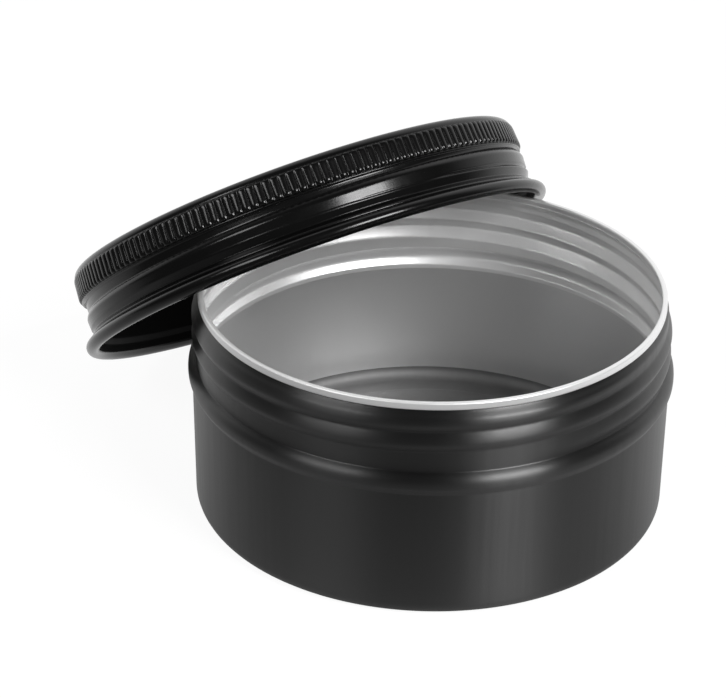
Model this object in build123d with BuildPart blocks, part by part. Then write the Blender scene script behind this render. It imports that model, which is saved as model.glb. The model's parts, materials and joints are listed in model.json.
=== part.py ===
"""Round screw-top candle tin: a seamless aluminium tin with a rolled rim and a roll-formed thread,
a knurled screw lid with a rolled edge, and the foam liner that seals the lid on the rim.

Millimetres, +Z up. The origin is the centre of the tin's foot, and the tin's axis is +Z.
The lid is off: it stands on its rolled edge behind the tin on the left and leans over the rim.
"""
from build123d import *
from math import cos, radians, sin, tan
import os

# Sheet and tin
sheet = 0.35              # aluminium sheet with its coating
wall_radius = 41.5        # outside of the wall under the shoulder bead
foot_radius = 41.1        # outside of the wall at the foot: the wall tapers a little
foot_corner = 2.5         # outside radius between wall and foot
panel_radius = 34.0       # edge of the raised panel in the base
panel_rise = 1.0
shoulder_low = 24.4       # the shoulder bead starts here
shoulder_high = 28.6      # and the neck starts here
shoulder_crest = 42.25
neck_radius = 40.8        # outside of the neck between the thread's turns
neck_top = 37.9           # above this the neck draws in to the rim
rim_height = 39.95        # centre of the rolled rim
rim_centre = 39.85
rim_roll = 0.7            # outside radius of the roll

# Thread: right-handed, one start, a round ridge that is hollow inside
pitch = 3.7
tin_thread_crest = 41.5
tin_thread_low = 29.9     # height of the ridge's lower end
tin_thread_start = -125   # and its direction, in degrees from +X
tin_thread_turns = 2.1
tin_ridge = 1.1           # outside radius of the ridge
lid_thread_crest = 42.4
lid_thread_low = 2.3      # height of the ridge's lower end above the middle of the rolled edge
lid_thread_start = -100   # and its direction, in degrees from the lid's own X
lid_thread_turns = 1.25
lid_ridge = 1.3

# Lid, along its own axis from the middle of its rolled edge
skirt_radius = 41.6       # outside of the skirt between the thread's turns
skirt_low = 2.0           # the skirt steps out to the rolled edge below this
knurl_radius = 42.45      # tips of the ribs
knurl_depth = 0.35
knurl_low = 8.2
knurl_high = 12.4
rib_count = 180
lid_top = 14.05           # outside of the top panel
lid_corner = 1.5
edge_centre = 42.98       # centre of the rolled edge
edge_roll = 1.2
edge_turn = 280           # degrees that the edge is rolled through

# Liner
liner_radius = 40.6
liner_thickness = 1.0
liner_gap = 0.1           # slack between liner and top panel

# Rest pose of the lid: the middle of its rolled edge, and the way its axis leans
lid_place = (-21.2, 29.0, 28.56)
lean = 39.29              # from upright
heading = 124.6           # towards the back left, in degrees from +X
lid_axis = Vector(
    sin(radians(lean)) * cos(radians(heading)),
    sin(radians(lean)) * sin(radians(heading)),
    cos(radians(lean)),
)
lid_across = Vector(sin(radians(heading)), -cos(radians(heading)), 0)
lid_plane = Plane(origin=lid_place, x_dir=lid_across, z_dir=lid_axis)
lid_section = Plane(origin=lid_place, x_dir=lid_across, z_dir=-lid_plane.y_dir)
lid_turn_axis = Axis(lid_place, lid_axis)


def tin_outline(inset, top):
    """Closed half outline of the tin, its outside or, inset by the sheet, its inside."""
    crest = shoulder_crest - inset
    neck = neck_radius - inset
    throat = rim_centre - rim_roll + sheet - inset
    panel = panel_radius + inset * tan(radians(22.5))
    FilletPolyline(
        (0, panel_rise + inset),
        (panel, panel_rise + inset),
        (panel + panel_rise, inset),
        (foot_radius - inset, inset),
        (wall_radius - inset, shoulder_low),
        (crest, shoulder_low + 1.3),
        (crest, shoulder_high - 1.5),
        (neck, shoulder_high),
        (neck, neck_top),
        (throat, rim_height - 0.9),
        (throat, top),
        (0, top),
        close=True,
        radius=[0, 0.6, 0.6, foot_corner - inset, 0.5, 1.1, 1.1, 0.4, 0.8, 0.5, 0, 0],
    )


def lid_outline(inset, low):
    """Closed half outline of the lid without its ribs, its outside or, inset, its inside."""
    band = knurl_radius - knurl_depth - inset
    skirt = skirt_radius - inset
    hem = edge_centre - edge_roll + sheet - inset
    FilletPolyline(
        (0, lid_top - inset),
        (band, lid_top - inset),
        (band, knurl_low),
        (skirt, knurl_low - 0.7),
        (skirt, skirt_low),
        (hem, skirt_low - 1),
        (hem, low),
        (0, low),
        close=True,
        radius=[0, lid_corner - inset, 0.3, 0.3, 0.5, 0.4, 0, 0],
    )


def edge_outline():
    """Closed outline of the lid's edge, rolled outwards and left open at its end."""
    outer_arc = CenterArc((edge_centre, 0), edge_roll, 180, edge_turn)
    inner_arc = CenterArc((edge_centre, 0), edge_roll - sheet, 180, edge_turn)
    Line(outer_arc @ 0, inner_arc @ 0)
    Line(outer_arc @ 1, inner_arc @ 1)


def thread_path(plane, low, start, turns, radius):
    """Centre line of a thread ridge about a plane's axis."""
    with BuildLine() as path:
        Helix(pitch, pitch * turns, radius, center=(0, 0, low))
    return plane.from_local_coords(path.line.rotate(Axis.Z, start))


def across_path(path):
    """Plane square to the start of a path."""
    return Plane(origin=path @ 0, z_dir=path % 0)


def rib_points():
    """Corners of the knurled band, two at each rib's tip and one in each valley."""
    step = 360 / rib_count
    valley = knurl_radius - knurl_depth
    corners = []
    for rib in range(rib_count):
        for radius, turn in ((valley, 0), (knurl_radius, 0.35), (knurl_radius, 0.65)):
            angle = radians((rib + turn) * step)
            corners.append((radius * cos(angle), radius * sin(angle)))
    return corners


os.makedirs("parts", exist_ok=True)

# Tin body: one drawn piece from base panel to rolled rim
tin_thread = thread_path(
    Plane.XY, tin_thread_low, tin_thread_start, tin_thread_turns, tin_thread_crest - tin_ridge)
with BuildPart() as tin_body:
    with BuildSketch(Plane.XZ):
        with BuildLine():
            tin_outline(0, rim_height)
        make_face()
    revolve(axis=Axis.Z)
    with BuildSketch(across_path(tin_thread)):
        Circle(tin_ridge)
    sweep(path=tin_thread, is_frenet=True)
    with BuildSketch(Plane.XZ):
        with BuildLine():
            tin_outline(sheet, rim_height + sheet)
        make_face()
    revolve(axis=Axis.Z, mode=Mode.SUBTRACT)
    with BuildSketch(across_path(tin_thread)):
        Circle(tin_ridge - sheet)
    sweep(path=tin_thread, is_frenet=True, mode=Mode.SUBTRACT)
    with BuildSketch(Plane.XZ):
        with Locations((rim_centre, rim_height)):
            Circle(rim_roll)
    revolve(axis=Axis.Z)
tin_body.part.label = "tin_body"
export_step(tin_body.part, "parts/tin_body.step")

# Lid shell: one drawn piece from top panel to rolled edge, with a knurled band
lid_thread = thread_path(
    lid_plane, lid_thread_low, lid_thread_start, lid_thread_turns, lid_thread_crest - lid_ridge)
with BuildPart() as lid_shell:
    with BuildSketch(lid_section):
        with BuildLine():
            lid_outline(0, 0)
        make_face()
    revolve(axis=lid_turn_axis)
    with BuildSketch(across_path(lid_thread)):
        Circle(lid_ridge)
    sweep(path=lid_thread, is_frenet=True)
    with BuildSketch(lid_section):
        with BuildLine():
            lid_outline(sheet, -sheet)
        make_face()
    revolve(axis=lid_turn_axis, mode=Mode.SUBTRACT)
    with BuildSketch(across_path(lid_thread)):
        Circle(lid_ridge - sheet)
    sweep(path=lid_thread, is_frenet=True, mode=Mode.SUBTRACT)
    with BuildSketch(lid_section):
        with BuildLine():
            edge_outline()
        make_face()
    revolve(axis=lid_turn_axis)
    with BuildSketch(lid_plane.offset(knurl_low)):
        with BuildLine():
            Polyline(rib_points(), close=True)
        make_face()
        Circle(knurl_radius - knurl_depth - sheet / 2, mode=Mode.SUBTRACT)
    extrude(amount=knurl_high - knurl_low)
lid_shell.part.label = "lid_shell"
export_step(lid_shell.part, "parts/lid_shell.step")

# Liner: a loose foam disc inside the top panel
liner_high = lid_top - sheet - liner_gap
with BuildPart() as lid_liner:
    with BuildSketch(lid_plane.offset(liner_high - liner_thickness)):
        Circle(liner_radius)
    extrude(amount=liner_thickness)
lid_liner.part.label = "lid_liner"
export_step(lid_liner.part, "parts/lid_liner.step")
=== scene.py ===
"""Looks of the screw-top candle tin: an aluminium tin with a satin black coat outside, its
knurled black lid leaning over the bare rolled rim, and the foam liner in the lid.

Metres, +Z up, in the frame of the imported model. Profiles are in millimetres, as rows of
(distance from the axis, height along it), and angles go round the axis from +X.
"""
import json
from math import acos, ceil, cos, pi, radians, sin, tan

import bpy
import numpy as np
from mathutils import Matrix, Vector


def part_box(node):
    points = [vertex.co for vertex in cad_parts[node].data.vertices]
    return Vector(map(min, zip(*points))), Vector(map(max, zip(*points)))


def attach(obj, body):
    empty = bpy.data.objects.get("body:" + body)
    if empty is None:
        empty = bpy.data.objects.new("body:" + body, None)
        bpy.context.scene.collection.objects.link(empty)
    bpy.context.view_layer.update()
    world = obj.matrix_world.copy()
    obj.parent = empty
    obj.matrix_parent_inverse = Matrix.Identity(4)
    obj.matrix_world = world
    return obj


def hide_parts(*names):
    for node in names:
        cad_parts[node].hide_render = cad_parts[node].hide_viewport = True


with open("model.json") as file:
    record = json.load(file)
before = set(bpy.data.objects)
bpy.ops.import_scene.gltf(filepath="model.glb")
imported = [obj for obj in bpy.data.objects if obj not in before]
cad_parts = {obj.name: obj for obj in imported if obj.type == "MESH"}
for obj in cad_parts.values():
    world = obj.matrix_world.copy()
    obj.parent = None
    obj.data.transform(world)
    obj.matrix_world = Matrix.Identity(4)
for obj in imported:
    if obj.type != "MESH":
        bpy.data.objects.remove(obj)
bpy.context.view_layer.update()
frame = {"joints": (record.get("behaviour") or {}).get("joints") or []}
MM = 0.001

# Sheet and tin, in millimetres
SHEET = 0.35
WALL_RADIUS = 41.5
FOOT_RADIUS = 41.1
FOOT_CORNER = 2.5
PANEL_RADIUS = 34.0
PANEL_RISE = 1.0
PANEL_SLOPE = 45
PANEL_CORNER = 0.6
WALL_HIGH = 23.0
SHOULDER_LOW = 24.0
SHOULDER_OUT = 25.25
SHOULDER_IN = 27.3
SHOULDER_HIGH = 27.9
SHOULDER_CORNERS = (0.5, 1.4, 1.85, 0.25)   # radii at LOW, OUT, IN and HIGH
SHOULDER_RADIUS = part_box("tin_body")[1].x / MM
NECK_RADIUS = 40.8
NECK_TOP = 38.3
NECK_CORNER = 1.2
RIM_OUTSIDE = 40.45
RIM_INSIDE = 39.4
RIM_LOW = 39.25
RIM_HIGH = 40.65
RIM_CORNER = 0.32
THROAT_RADIUS = 40.15

# Thread: right-handed, with one start
PITCH = 3.7
TIN_THREAD_LOW = 29.85
TIN_THREAD_START = -70
TIN_THREAD_TURNS = 2.15
TIN_THREAD_DEPTH = 0.75
TIN_RIDGE_ABOVE = 2.1
TIN_RIDGE_BELOW = 1.6
TIN_RIDGE_POWER = 1.6
TIN_GROOVE_HIGHER = 0.7
TIN_GROOVE_ABOVE = 1.5
TIN_GROOVE_BELOW = 2.2
TIN_GROOVE_POWER = 1.2
LID_THREAD_LOW = 3.9
LID_THREAD_START = 90
LID_THREAD_TURNS = 0.92
LID_THREAD_DEPTH = 0.65
LID_RIDGE_ABOVE = 1.2
LID_RIDGE_BELOW = 2.0
LID_RIDGE_POWER = 1.5
LID_RIDGE_SLANT = 0.2
LID_RIDGE_CREASE = 0.1
THREAD_FADE = 50          # degrees over which a thread's end rises
SHOULDER_FADE = 0.8
RIM_FADE = 1.2
SKIRT_FADE = 0.6

# Lid, along its own axis from the middle of its rolled edge
SKIRT_RADIUS = 41.65
SKIRT_INSIDE = 41.25
SKIRT_LOW = 2.0
SKIRT_FOOT = 2.3
SKIRT_CORNER = 0.2
BEAD_HIGH = 3.6
BEAD_DEPTH = 0.6
BEAD_ABOVE = 0.5
BEAD_BELOW = 1.5
GROOVE_HIGH = 7.7
GROOVE_CORNER = 0.4
BAND_RADIUS = 42.15
BAND_TOP_RADIUS = 42.1
BAND_LOW = 8.15
BAND_CORNER = 0.2
KNURL_DEPTH = 0.24
KNURL_LEAN = 0.06         # how much deeper the ribs are for each millimetre down
KNURL_LOW = 8.85
KNURL_HIGH = 11.65
KNURL_PAST = 0.7          # fine mesh past the ends of the ribs
KNURL_STEP = 0.3
RIBS = 180
RIB_SAMPLES = 10
LID_TOP = 13.75
LID_CORNER = 1.6
EDGE_CENTRE = 42.98
EDGE_HEIGHT = -0.3
EDGE_ROLL = 1.2
EDGE_MEETS = 28           # degrees past the top of the roll where the skirt meets it
EDGE_TURN = 270 + EDGE_MEETS
HEM_RADIUS = 42.75
HEM_HIGH = 1.3
HEM_CORNER = 0.3
INNER_HEM_HIGH = 1.0
INNER_HEM_CORNER = 0.4
INNER_FOOT_CORNER = 0.5
INNER_STEP_LOW = 7.5
INNER_STEP_HIGH = 8.1
INNER_STEP_CORNER = 0.3

# Liner
LINER_RADIUS = 40.6
LINER_THICKNESS = 1.0
LINER_GAP = 0.1
LINER_EDGE = 0.2

# Mesh: points round a ring, the radius of the ring round a middle point, and the longest steps
# along a profile where it is flat and where it is curved
AROUND = RIBS * 2
MIDDLE = 0.5
FLAT_STEP = 3.0
NECK_STEP = 0.25
RIM_STEP = 0.3
SKIRT_STEP = 0.2
LID_INSIDE_STEP = 0.3
CORNER_STEP = 12
ARC_STEP = 15

# Material slots of the tin and of the lid
COAT, NECK, RIM, WALL, BASE = range(5)
LINING = 1

# Stage, in metres
LIGHT_AIM = Vector((0, 0, 0.03))
FLOOR_RADIUS = 0.26
FLOOR_SEEN = 0.93
# The floor's glow as the tin sees it: painted light, brighter to the back and right
FLOOR_GLOW = 0.62
FLOOR_GLOW_SLOPE = (1.5, 5.5, 0.0)

lid_joint = next(j for j in frame["joints"] if j["name"] == "lid_turn")
LID_AXIS = Vector(lid_joint["axis"]).normalized()
LID_ACROSS = LID_AXIS.cross(Vector((0, 0, 1))).normalized()
LID_PLACE = Matrix.Translation(lid_joint["pos_m"]) @ Matrix(
    (LID_ACROSS, LID_AXIS.cross(LID_ACROSS), LID_AXIS)
).transposed().to_4x4()


# ---------------------------------------------------------------- profiles
def rounded(corners, step):
    """Points along a profile whose corners (r, z, radius) are rounded, at most step apart."""
    def run(a, b):
        count = max(1, ceil((b - a).length / step))
        return [a.lerp(b, k / count) for k in range(count)]

    points = [Vector(c[:2]) for c in corners]
    line, here = [], points[0]
    for before, corner, after, (_, _, radius) in zip(points, points[1:], points[2:], corners[1:]):
        into, out = (corner - before).normalized(), (after - corner).normalized()
        turn = acos(max(-1, min(1, into.dot(out))))
        if radius == 0 or turn < radians(1):
            line += run(here, corner)
            here = corner
            continue
        cut = radius * tan(turn / 2)
        start, end = corner - into * cut, corner + out * cut
        centre = corner + (out - into).normalized() * radius / cos(turn / 2)
        line += run(here, start)
        count = max(3, ceil(turn / radians(CORNER_STEP)))
        side = 1 if into.cross(out) > 0 else -1
        first = start - centre
        for k in range(count):
            angle = side * turn * k / count
            line.append(centre + Matrix.Rotation(angle, 2) @ first)
        here = end
    return line + run(here, points[-1]) + [points[-1]]


def arc(centre, radius, start, turn):
    """Points along an arc, from start and through turn degrees."""
    count = ceil(abs(turn) / ARC_STEP)
    angles = [radians(start + turn * k / count) for k in range(count + 1)]
    return [Vector((centre[0] + radius * cos(a), centre[1] + radius * sin(a))) for a in angles]


def smooth(x):
    """0 below 0, 1 above 1, and an even slope between."""
    x = np.clip(x, 0, 1)
    return x * x * (3 - 2 * x)


def ridge(off, above, below, power):
    """A ridge of unit height, which runs down to a crease above and below it."""
    return 1 - np.clip(np.maximum(off / above, -off / below), 0, 1) ** power


def tin_ridge(off):
    """The tin's thread outside: round, and longer above than below."""
    return ridge(off, TIN_RIDGE_ABOVE, TIN_RIDGE_BELOW, TIN_RIDGE_POWER)


def tin_groove(off):
    """The tin's thread inside: a little higher up, straighter, and longer below."""
    off = off - TIN_GROOVE_HIGHER
    return ridge(off, TIN_GROOVE_ABOVE, TIN_GROOVE_BELOW, TIN_GROOVE_POWER)


def lid_ridge(off):
    """The lid's thread: a short upper side, and a long one below that slants in to a crease."""
    above = 1 - np.clip(off / LID_RIDGE_ABOVE, 0, 1) ** LID_RIDGE_POWER
    below = np.clip(-off / LID_RIDGE_BELOW, 0, 1)
    crease = smooth((below - (1 - LID_RIDGE_CREASE)) / LID_RIDGE_CREASE)
    return above * (1 - LID_RIDGE_SLANT * below - (1 - LID_RIDGE_SLANT) * crease)


def thread(angles, heights, low, start, turns, shape):
    """How far a thread of unit depth stands out at each height (rows) and angle (columns)."""
    out = np.zeros((len(heights), len(angles)))
    from_start = (np.degrees(angles) - start) % 360
    for turn in range(ceil(turns) + 1):
        along = from_start + 360 * turn
        middle = low + PITCH * along / 360
        strength = smooth(along / THREAD_FADE) * smooth((turns * 360 - along) / THREAD_FADE)
        out = np.maximum(out, strength * shape(heights[:, None] - middle))
    return out


# ---------------------------------------------------------------- meshes
def ring_angles(count):
    """Angles of a ring's points."""
    return np.arange(count) * 2 * pi / count


class Surface:
    """Rows of rings about Z, joined into one mesh."""

    def __init__(self):
        self.vertices, self.faces, self.slots = [], [], []
        self.last = None

    def ring(self, radii, heights, slot):
        """Adds a ring with a radius and a height for each point, and joins it to the ring before."""
        angles = ring_angles(len(radii))
        start = len(self.vertices)
        self.vertices += list(zip(radii * np.cos(angles), radii * np.sin(angles), heights))
        if self.last:
            self.join(self.last, (start, len(radii)), slot)
        self.last = (start, len(radii))

    def point(self, height, slot=COAT):
        """Adds a point on the axis, and joins it to the ring before if there is one."""
        start = len(self.vertices)
        self.vertices.append((0, 0, height))
        if self.last:
            self.join(self.last, (start, 1), slot)
        self.last = (start, 1)

    def join(self, one, other, slot):
        """Joins two rings, one of whose counts divides the other, or a ring and a point."""
        (a, na), (b, nb) = one, other
        pieces = min(na, nb) if min(na, nb) > 1 else max(na, nb)
        for k in range(pieces):
            low = self.span(a, na, k, pieces)
            high = self.span(b, nb, k, pieces)
            self.faces.append(low + high[::-1])
            self.slots.append(slot)

    @staticmethod
    def span(start, count, k, pieces):
        """The ring's points along its piece k of so many pieces."""
        if count == 1:
            return [start]
        each = count // pieces
        return [start + (k * each + i) % count for i in range(each + 1)]

    def rows(self, line, shape=None, count=AROUND, slot=COAT):
        """Adds a ring for each point of a profile. shape gives what is added to each radius."""
        heights = np.array([p[1] for p in line])
        radii = np.array([p[0] for p in line])[:, None] + np.zeros(count)
        if shape:
            radii = radii + shape(ring_angles(count), heights)
        for row, height in zip(radii, heights):
            self.ring(row, np.full(count, height), slot)

    def made(self, name, materials, place=Matrix()):
        """The finished object, in metres."""
        mesh = bpy.data.meshes.new(name)
        mesh.from_pydata(self.vertices, [], self.faces)
        for material in materials:
            mesh.materials.append(material)
        mesh.polygons.foreach_set("material_index", self.slots)
        mesh.polygons.foreach_set("use_smooth", [True] * len(self.faces))
        mesh.transform(place @ Matrix.Scale(MM, 4))
        mesh.update()
        obj = bpy.data.objects.new(name, mesh)
        bpy.context.scene.collection.objects.link(obj)
        return obj


# ---------------------------------------------------------------- materials
GRAIN = 0.02


def node_material(name):
    """A new material with its node tree, its Principled shader and a maker of more nodes."""
    material = bpy.data.materials.new(name)
    material.use_nodes = True
    tree = material.node_tree
    shader = tree.nodes["Principled BSDF"]

    def add(kind, inputs=None, **settings):
        node = tree.nodes.new("ShaderNode" + kind)
        for key, value in settings.items():
            setattr(node, key, value)
        for key, value in (inputs or {}).items():
            if isinstance(value, bpy.types.NodeSocket):
                tree.links.new(value, node.inputs[key])
            else:
                node.inputs[key].default_value = value
        return node

    return material, tree, shader, add


def grained(tree, add, shader, roughness, scale):
    """A fine grain in the roughness, with its own scale along each axis."""
    place = add("Mapping", {"Vector": add("TexCoord").outputs["Object"], "Scale": scale})
    grain = add("TexNoise", {"Vector": place.outputs["Vector"], "Scale": 1.0, "Detail": 4.0})
    tone = add("MapRange", {"Value": grain.outputs["Fac"], "From Min": 0.3, "From Max": 0.7,
                            "To Min": roughness - GRAIN, "To Max": roughness + GRAIN})
    tree.links.new(tone.outputs["Result"], shader.inputs["Roughness"])


def coat_material(name, grey, specular, roughness, scale, stretch=0.0):
    """Black coat. stretch draws its highlights out along the wall, as on a brushed tin."""
    material, tree, shader, add = node_material(name)
    grained(tree, add, shader, roughness, scale)
    skin = add("TexNoise", {"Vector": add("TexCoord").outputs["Object"], "Scale": 2600.0})
    bump = add("Bump", {"Height": skin.outputs["Fac"], "Strength": 0.04, "Distance": 0.0001})
    tree.links.new(bump.outputs["Normal"], shader.inputs["Normal"])
    shader.inputs["Base Color"].default_value = (grey, grey, grey, 1)
    shader.inputs["Specular IOR Level"].default_value = specular
    shader.inputs["Anisotropic"].default_value = stretch
    shader.inputs["Anisotropic Rotation"].default_value = 0.25
    return material


def metal_material(name, grey, metallic, roughness):
    """Bare drawn aluminium: satin, with a grain drawn out up the wall."""
    material, tree, shader, add = node_material(name)
    grained(tree, add, shader, roughness, (900.0, 900.0, 30.0))
    shader.inputs["Base Color"].default_value = (grey, grey, grey, 1)
    shader.inputs["Metallic"].default_value = metallic
    return material


def foam_material(name):
    """White closed-cell foam."""
    material, tree, shader, add = node_material(name)
    place = add("TexCoord").outputs["Object"]
    cells = add("TexVoronoi", {"Vector": place, "Scale": 1400.0})
    bump = add("Bump", {"Height": cells.outputs["Distance"], "Strength": 0.35, "Distance": 0.0002})
    tree.links.new(bump.outputs["Normal"], shader.inputs["Normal"])
    shader.inputs["Base Color"].default_value = (0.82, 0.82, 0.8, 1)
    shader.inputs["Roughness"].default_value = 0.65
    return material


# ---------------------------------------------------------------- pieces
def tin_wall(inset):
    """Half profile in two parts: base and wall, then shoulder and neck up to under the rim."""
    panel = PANEL_RADIUS + inset * tan(radians(PANEL_SLOPE / 2))
    base = rounded([
        (MIDDLE, PANEL_RISE + inset, 0),
        (panel, PANEL_RISE + inset, PANEL_CORNER),
        (panel + PANEL_RISE, inset, PANEL_CORNER),
        (FOOT_RADIUS - inset, inset, FOOT_CORNER - inset),
        (WALL_RADIUS - inset, WALL_HIGH, 0),
    ], FLAT_STEP)
    at_low, at_out, at_in, at_high = SHOULDER_CORNERS
    neck = rounded([
        (WALL_RADIUS - inset, WALL_HIGH, 0),
        (WALL_RADIUS - inset, SHOULDER_LOW, at_low),
        (SHOULDER_RADIUS - inset, SHOULDER_OUT, at_out),
        (SHOULDER_RADIUS - inset, SHOULDER_IN, at_in),
        (NECK_RADIUS - inset, SHOULDER_HIGH, at_high),
        (NECK_RADIUS - inset, NECK_TOP, NECK_CORNER),
        (THROAT_RADIUS - inset, RIM_LOW, 0),
    ], NECK_STEP)
    return base, neck[1:]


def tin_thread(angles, heights, shape=tin_ridge):
    """The tin's thread, which fades out at the shoulder and where the neck draws in to the rim."""
    out = thread(angles, heights, TIN_THREAD_LOW, TIN_THREAD_START, TIN_THREAD_TURNS, shape)
    over_shoulder = smooth((heights - SHOULDER_HIGH) / SHOULDER_FADE)
    under_rim = smooth((RIM_LOW - heights) / RIM_FADE)
    return TIN_THREAD_DEPTH * out * (over_shoulder * under_rim)[:, None]


def inner_thread(angles, heights):
    """The tin's thread as the inside of the neck shows it."""
    return tin_thread(angles, heights, tin_groove)


def make_tin(materials):
    """The tin: coated outside up to the rim, bare on the rim and inside."""
    base, neck = tin_wall(0)
    inner_base, inner_neck = tin_wall(SHEET)
    surface = Surface()
    surface.point(PANEL_RISE)
    surface.rows(base)
    surface.rows(neck, tin_thread)
    rim = rounded([
        (THROAT_RADIUS, RIM_LOW, 0),
        (RIM_OUTSIDE, RIM_LOW, RIM_CORNER),
        (RIM_OUTSIDE, RIM_HIGH, RIM_CORNER),
        (RIM_INSIDE, RIM_HIGH, RIM_CORNER),
        (THROAT_RADIUS - SHEET, RIM_LOW, 0),
    ], RIM_STEP)
    surface.rows(rim[1:], slot=RIM)
    # The neck rows take a lighter copy of the aluminium, whose extra brightness is painted light.
    surface.rows(inner_neck[::-1], inner_thread, slot=NECK)
    wall_low = FOOT_CORNER - SHEET
    surface.rows([p for p in inner_base[::-1] if p[1] >= wall_low], slot=WALL)
    # The base rows take a darker copy of the aluminium, whose dark grey is painted shade.
    surface.rows([p for p in inner_base[::-1] if p[1] < wall_low], slot=BASE)
    surface.point(PANEL_RISE + SHEET, slot=BASE)
    return surface.made("tin_shell", materials)


def lid_thread(angles, heights):
    """The lid's thread, and the bead round the skirt under it."""
    out = thread(angles, heights, LID_THREAD_LOW, LID_THREAD_START, LID_THREAD_TURNS, lid_ridge)
    bead = BEAD_DEPTH * ridge(heights - BEAD_HIGH, BEAD_ABOVE, BEAD_BELOW, 1)
    in_skirt = smooth((heights - SKIRT_LOW) / SKIRT_FADE)
    return np.maximum(LID_THREAD_DEPTH * out * in_skirt[:, None], bead[:, None])


def ribs(angles, heights):
    """The knurled band: upright ribs with round ends."""
    spacing = 2 * pi * BAND_RADIUS / RIBS
    half = spacing / 2
    side = (angles * BAND_RADIUS) % spacing - half
    past = np.maximum(0, np.maximum(KNURL_LOW - heights, heights - KNURL_HIGH))[:, None]
    off = np.minimum(1, np.sqrt(side ** 2 + past ** 2) / half)
    depth = KNURL_DEPTH + KNURL_LEAN * (KNURL_HIGH - heights)[:, None]
    return depth * np.sqrt(1 - off ** 2)


def lid_outside():
    """Half profile outside the lid in three parts: top, knurled band, skirt down to the edge."""
    top = rounded([
        (MIDDLE, LID_TOP, 0),
        (BAND_TOP_RADIUS, LID_TOP, LID_CORNER),
        (BAND_TOP_RADIUS, KNURL_HIGH + KNURL_PAST, 0),
    ], FLAT_STEP)
    knurl = rounded([
        (BAND_TOP_RADIUS, KNURL_HIGH + KNURL_PAST, 0),
        (BAND_RADIUS, KNURL_LOW - KNURL_PAST, 0),
    ], KNURL_STEP)
    meets = radians(EDGE_MEETS)
    skirt = rounded([
        (BAND_RADIUS, KNURL_LOW - KNURL_PAST, 0),
        (BAND_RADIUS, BAND_LOW, BAND_CORNER),
        (SKIRT_RADIUS, GROOVE_HIGH, GROOVE_CORNER),
        (SKIRT_RADIUS, SKIRT_FOOT, SKIRT_CORNER),
        (HEM_RADIUS, HEM_HIGH, HEM_CORNER),
        (EDGE_CENTRE - EDGE_ROLL * sin(meets), EDGE_HEIGHT + EDGE_ROLL * cos(meets), 0),
    ], SKIRT_STEP)
    return top, knurl, skirt[1:]


def lid_inside():
    """Half profile inside the lid, from the edge up to the middle of the top panel."""
    skirt = rounded([
        (EDGE_CENTRE - EDGE_ROLL, EDGE_HEIGHT, 0),
        (EDGE_CENTRE - EDGE_ROLL, INNER_HEM_HIGH, INNER_HEM_CORNER),
        (SKIRT_INSIDE, SKIRT_LOW, INNER_FOOT_CORNER),
        (SKIRT_INSIDE, INNER_STEP_LOW, 0),
    ], LID_INSIDE_STEP)
    top = rounded([
        (SKIRT_INSIDE, INNER_STEP_LOW, 0),
        (BAND_RADIUS - SHEET, INNER_STEP_HIGH, INNER_STEP_CORNER),
        (BAND_TOP_RADIUS - SHEET, LID_TOP - SHEET, LID_CORNER - SHEET),
        (MIDDLE, LID_TOP - SHEET, 0),
    ], FLAT_STEP)
    return skirt, top[1:]


def make_lid(materials):
    """The lid: one coated sheet, rolled outwards at its edge. Its inside has a duller coat."""
    top, knurl, skirt = lid_outside()
    inner_skirt, inner_top = lid_inside()
    edge = (EDGE_CENTRE, EDGE_HEIGHT)
    surface = Surface()
    surface.point(LID_TOP)
    surface.rows(top[:-1])
    surface.rows(knurl, ribs, count=RIBS * RIB_SAMPLES)
    surface.rows(skirt, lid_thread)
    surface.rows(arc(edge, EDGE_ROLL, 180 + EDGE_TURN, -EDGE_TURN)[1:])
    surface.rows(inner_skirt[1:], slot=LINING)
    surface.rows(inner_top, slot=LINING)
    surface.point(LID_TOP - SHEET, slot=LINING)
    return surface.made("lid_skin", materials, LID_PLACE)


def make_liner(materials):
    """The foam disc inside the lid's top panel."""
    high = LID_TOP - SHEET - LINER_GAP
    low = high - LINER_THICKNESS
    surface = Surface()
    surface.point(high)
    surface.rows(rounded([
        (MIDDLE, high, 0),
        (LINER_RADIUS, high, LINER_EDGE),
        (LINER_RADIUS, low, LINER_EDGE),
        (MIDDLE, low, 0),
    ], FLAT_STEP))
    surface.point(low)
    return surface.made("liner_foam", materials, LID_PLACE)


# ---------------------------------------------------------------- stage
def make_floor():
    """A plain pale table top, which glows instead of being lit. The camera sees it evenly white; for
    the tin the glow is painted light, which darkens forwards and to the left.
    """
    bpy.ops.mesh.primitive_circle_add(vertices=128, radius=FLOOR_RADIUS, fill_type="NGON")
    floor = bpy.context.object
    floor.name = "floor"
    material, tree, shader, add = node_material("floor_white")
    shader.inputs["Base Color"].default_value = (0.1, 0.1, 0.1, 1)
    shader.inputs["Roughness"].default_value = 0.9
    shader.inputs["Specular IOR Level"].default_value = 0.0
    shader.inputs["Emission Color"].default_value = (1, 1, 1, 1)
    # Painted light for what the tin reflects: the floor's glow grows to the back and right, as lamps
    # and backdrop would light it.
    place = add("TexCoord").outputs["Object"]
    lit = add("VectorMath", {0: place, 1: FLOOR_GLOW_SLOPE}, operation="DOT_PRODUCT")
    lit = add("Math", {0: lit.outputs["Value"], 1: FLOOR_GLOW}, operation="ADD")
    lit = add("Clamp", {"Value": lit.outputs[0], "Min": 0.1, "Max": 0.9})
    seen = add("LightPath").outputs["Is Camera Ray"]
    glow = add("Mix", {"Factor": seen, "A": lit.outputs[0], "B": FLOOR_SEEN})
    tree.links.new(glow.outputs[0], shader.inputs["Emission Strength"])
    floor.data.materials.append(material)


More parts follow.
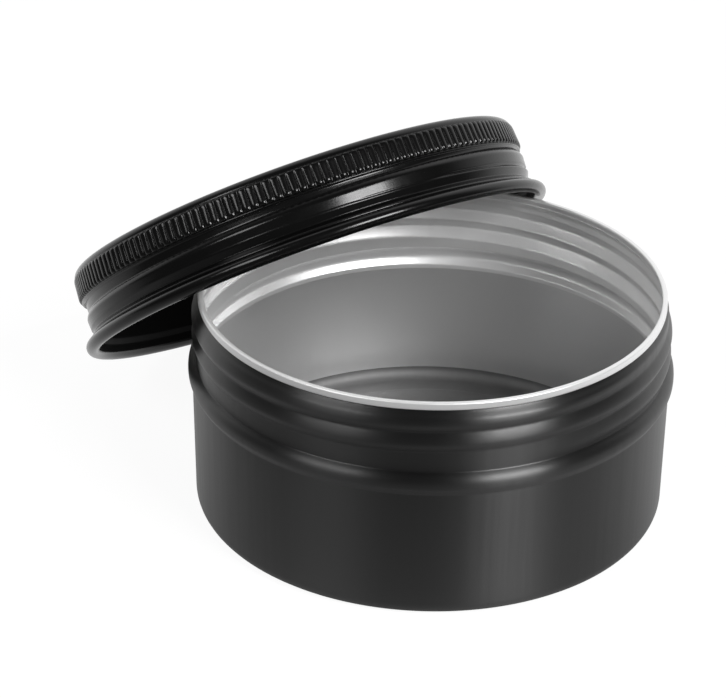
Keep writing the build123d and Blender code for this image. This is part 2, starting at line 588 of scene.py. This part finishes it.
def make_softbox(name, azimuth, elevation, distance, width, height, radiance):
    """A soft box that looks at the tin. Azimuth 0 is the front, and it grows to the right."""
    data = bpy.data.lights.new(name, "AREA")
    data.shape, data.size, data.size_y = "RECTANGLE", width, height
    data.energy = radiance * pi * width * height
    light = bpy.data.objects.new(name, data)
    a, e = radians(azimuth), radians(elevation)
    towards = Vector((sin(a) * cos(e), -cos(a) * cos(e), sin(e)))
    light.location = LIGHT_AIM + towards * distance
    light.rotation_euler = towards.to_track_quat("Z", "Y").to_euler()
    light.visible_camera = False
    bpy.context.scene.collection.objects.link(light)


def make_world():
    """A dark studio with a white backdrop behind the tin. The camera sees plain white."""
    world = bpy.data.worlds.new("studio")
    bpy.context.scene.world = world
    world.use_nodes = True
    tree = world.node_tree
    nodes, links = tree.nodes, tree.links
    background = nodes["Background"]
    place = nodes.new("ShaderNodeTexCoord")
    parts = nodes.new("ShaderNodeSeparateXYZ")
    links.new(place.outputs["Generated"], parts.inputs[0])
    back = nodes.new("ShaderNodeMapRange")
    back.interpolation_type = "SMOOTHSTEP"
    links.new(parts.outputs["Y"], back.inputs["Value"])
    back.inputs["From Min"].default_value = 0.05
    back.inputs["From Max"].default_value = 0.6
    back.inputs["To Min"].default_value = 0.1
    back.inputs["To Max"].default_value = 1.0
    camera = nodes.new("ShaderNodeLightPath")
    strength = nodes.new("ShaderNodeMix")
    links.new(camera.outputs["Is Camera Ray"], strength.inputs["Factor"])
    links.new(back.outputs["Result"], strength.inputs["A"])
    strength.inputs["B"].default_value = 1.0
    links.new(strength.outputs["Result"], background.inputs["Strength"])
    background.inputs["Color"].default_value = (1, 1, 1, 1)


def make_camera():
    """The camera: in front of the tin and above it, with a long lens."""
    pan, tilt, roll = -0.02423, 0.50138, 0.01199
    ahead = Vector((sin(pan) * cos(tilt), cos(pan) * cos(tilt), -sin(tilt)))
    right = Vector((cos(pan), -sin(pan), 0))
    up = right.cross(ahead)
    right, up = cos(roll) * right + sin(roll) * up, cos(roll) * up - sin(roll) * right
    data = bpy.data.cameras.new("camera")
    data.sensor_width = 36
    data.lens = 158.68
    data.clip_start, data.clip_end = 0.01, 20
    camera = bpy.data.objects.new("camera", data)
    camera.matrix_world = Matrix.Translation((0, -0.48845, 0.29601)) @ Matrix(
        (right, up, -ahead)).transposed().to_4x4()
    bpy.context.scene.collection.objects.link(camera)
    bpy.context.scene.camera = camera


make_camera()
make_world()
make_floor()
make_softbox("softbox_right", 41, 35, 0.9, 0.38, 0.3, 22)
make_softbox("softbox_left", -50, 40, 0.9, 0.42, 0.25, 7)
bpy.context.scene.view_settings.view_transform = "Standard"

tin_coat = coat_material("tin_coat", 0.001, 0.9, 0.4, (900.0, 900.0, 20.0), stretch=0.91)
lid_coat = coat_material("lid_coat", 0.002, 0.35, 0.19, (400.0, 400.0, 400.0))
lid_lining = coat_material("lid_lining", 0.002, 0.05, 0.5, (400.0, 400.0, 400.0))
# The neck is the same bare aluminium as the wall, but lighter and less metallic so that it shows
# brighter: painted light.
neck_metal_painted_light = metal_material("neck_metal_painted_light", 0.97, 0.72, 0.36)
wall_metal = metal_material("wall_metal", 0.84, 0.84, 0.31)
# The base is the same bare aluminium as the wall, but its grey is much darker: painted shade on the
# tin's floor.
base_metal_painted_shade = metal_material("base_metal_painted_shade", 0.21, 1.0, 0.64)
rim_metal = metal_material("rim_metal", 0.85, 0.6, 0.4)
foam = foam_material("foam")

tin = make_tin([tin_coat, neck_metal_painted_light, rim_metal, wall_metal, base_metal_painted_shade])
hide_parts("tin_body")
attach(tin, "tin")
lid = make_lid([lid_coat, lid_lining])
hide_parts("lid_shell")
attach(lid, "lid")
liner = make_liner([foam])
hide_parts("lid_liner")
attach(liner, "liner")
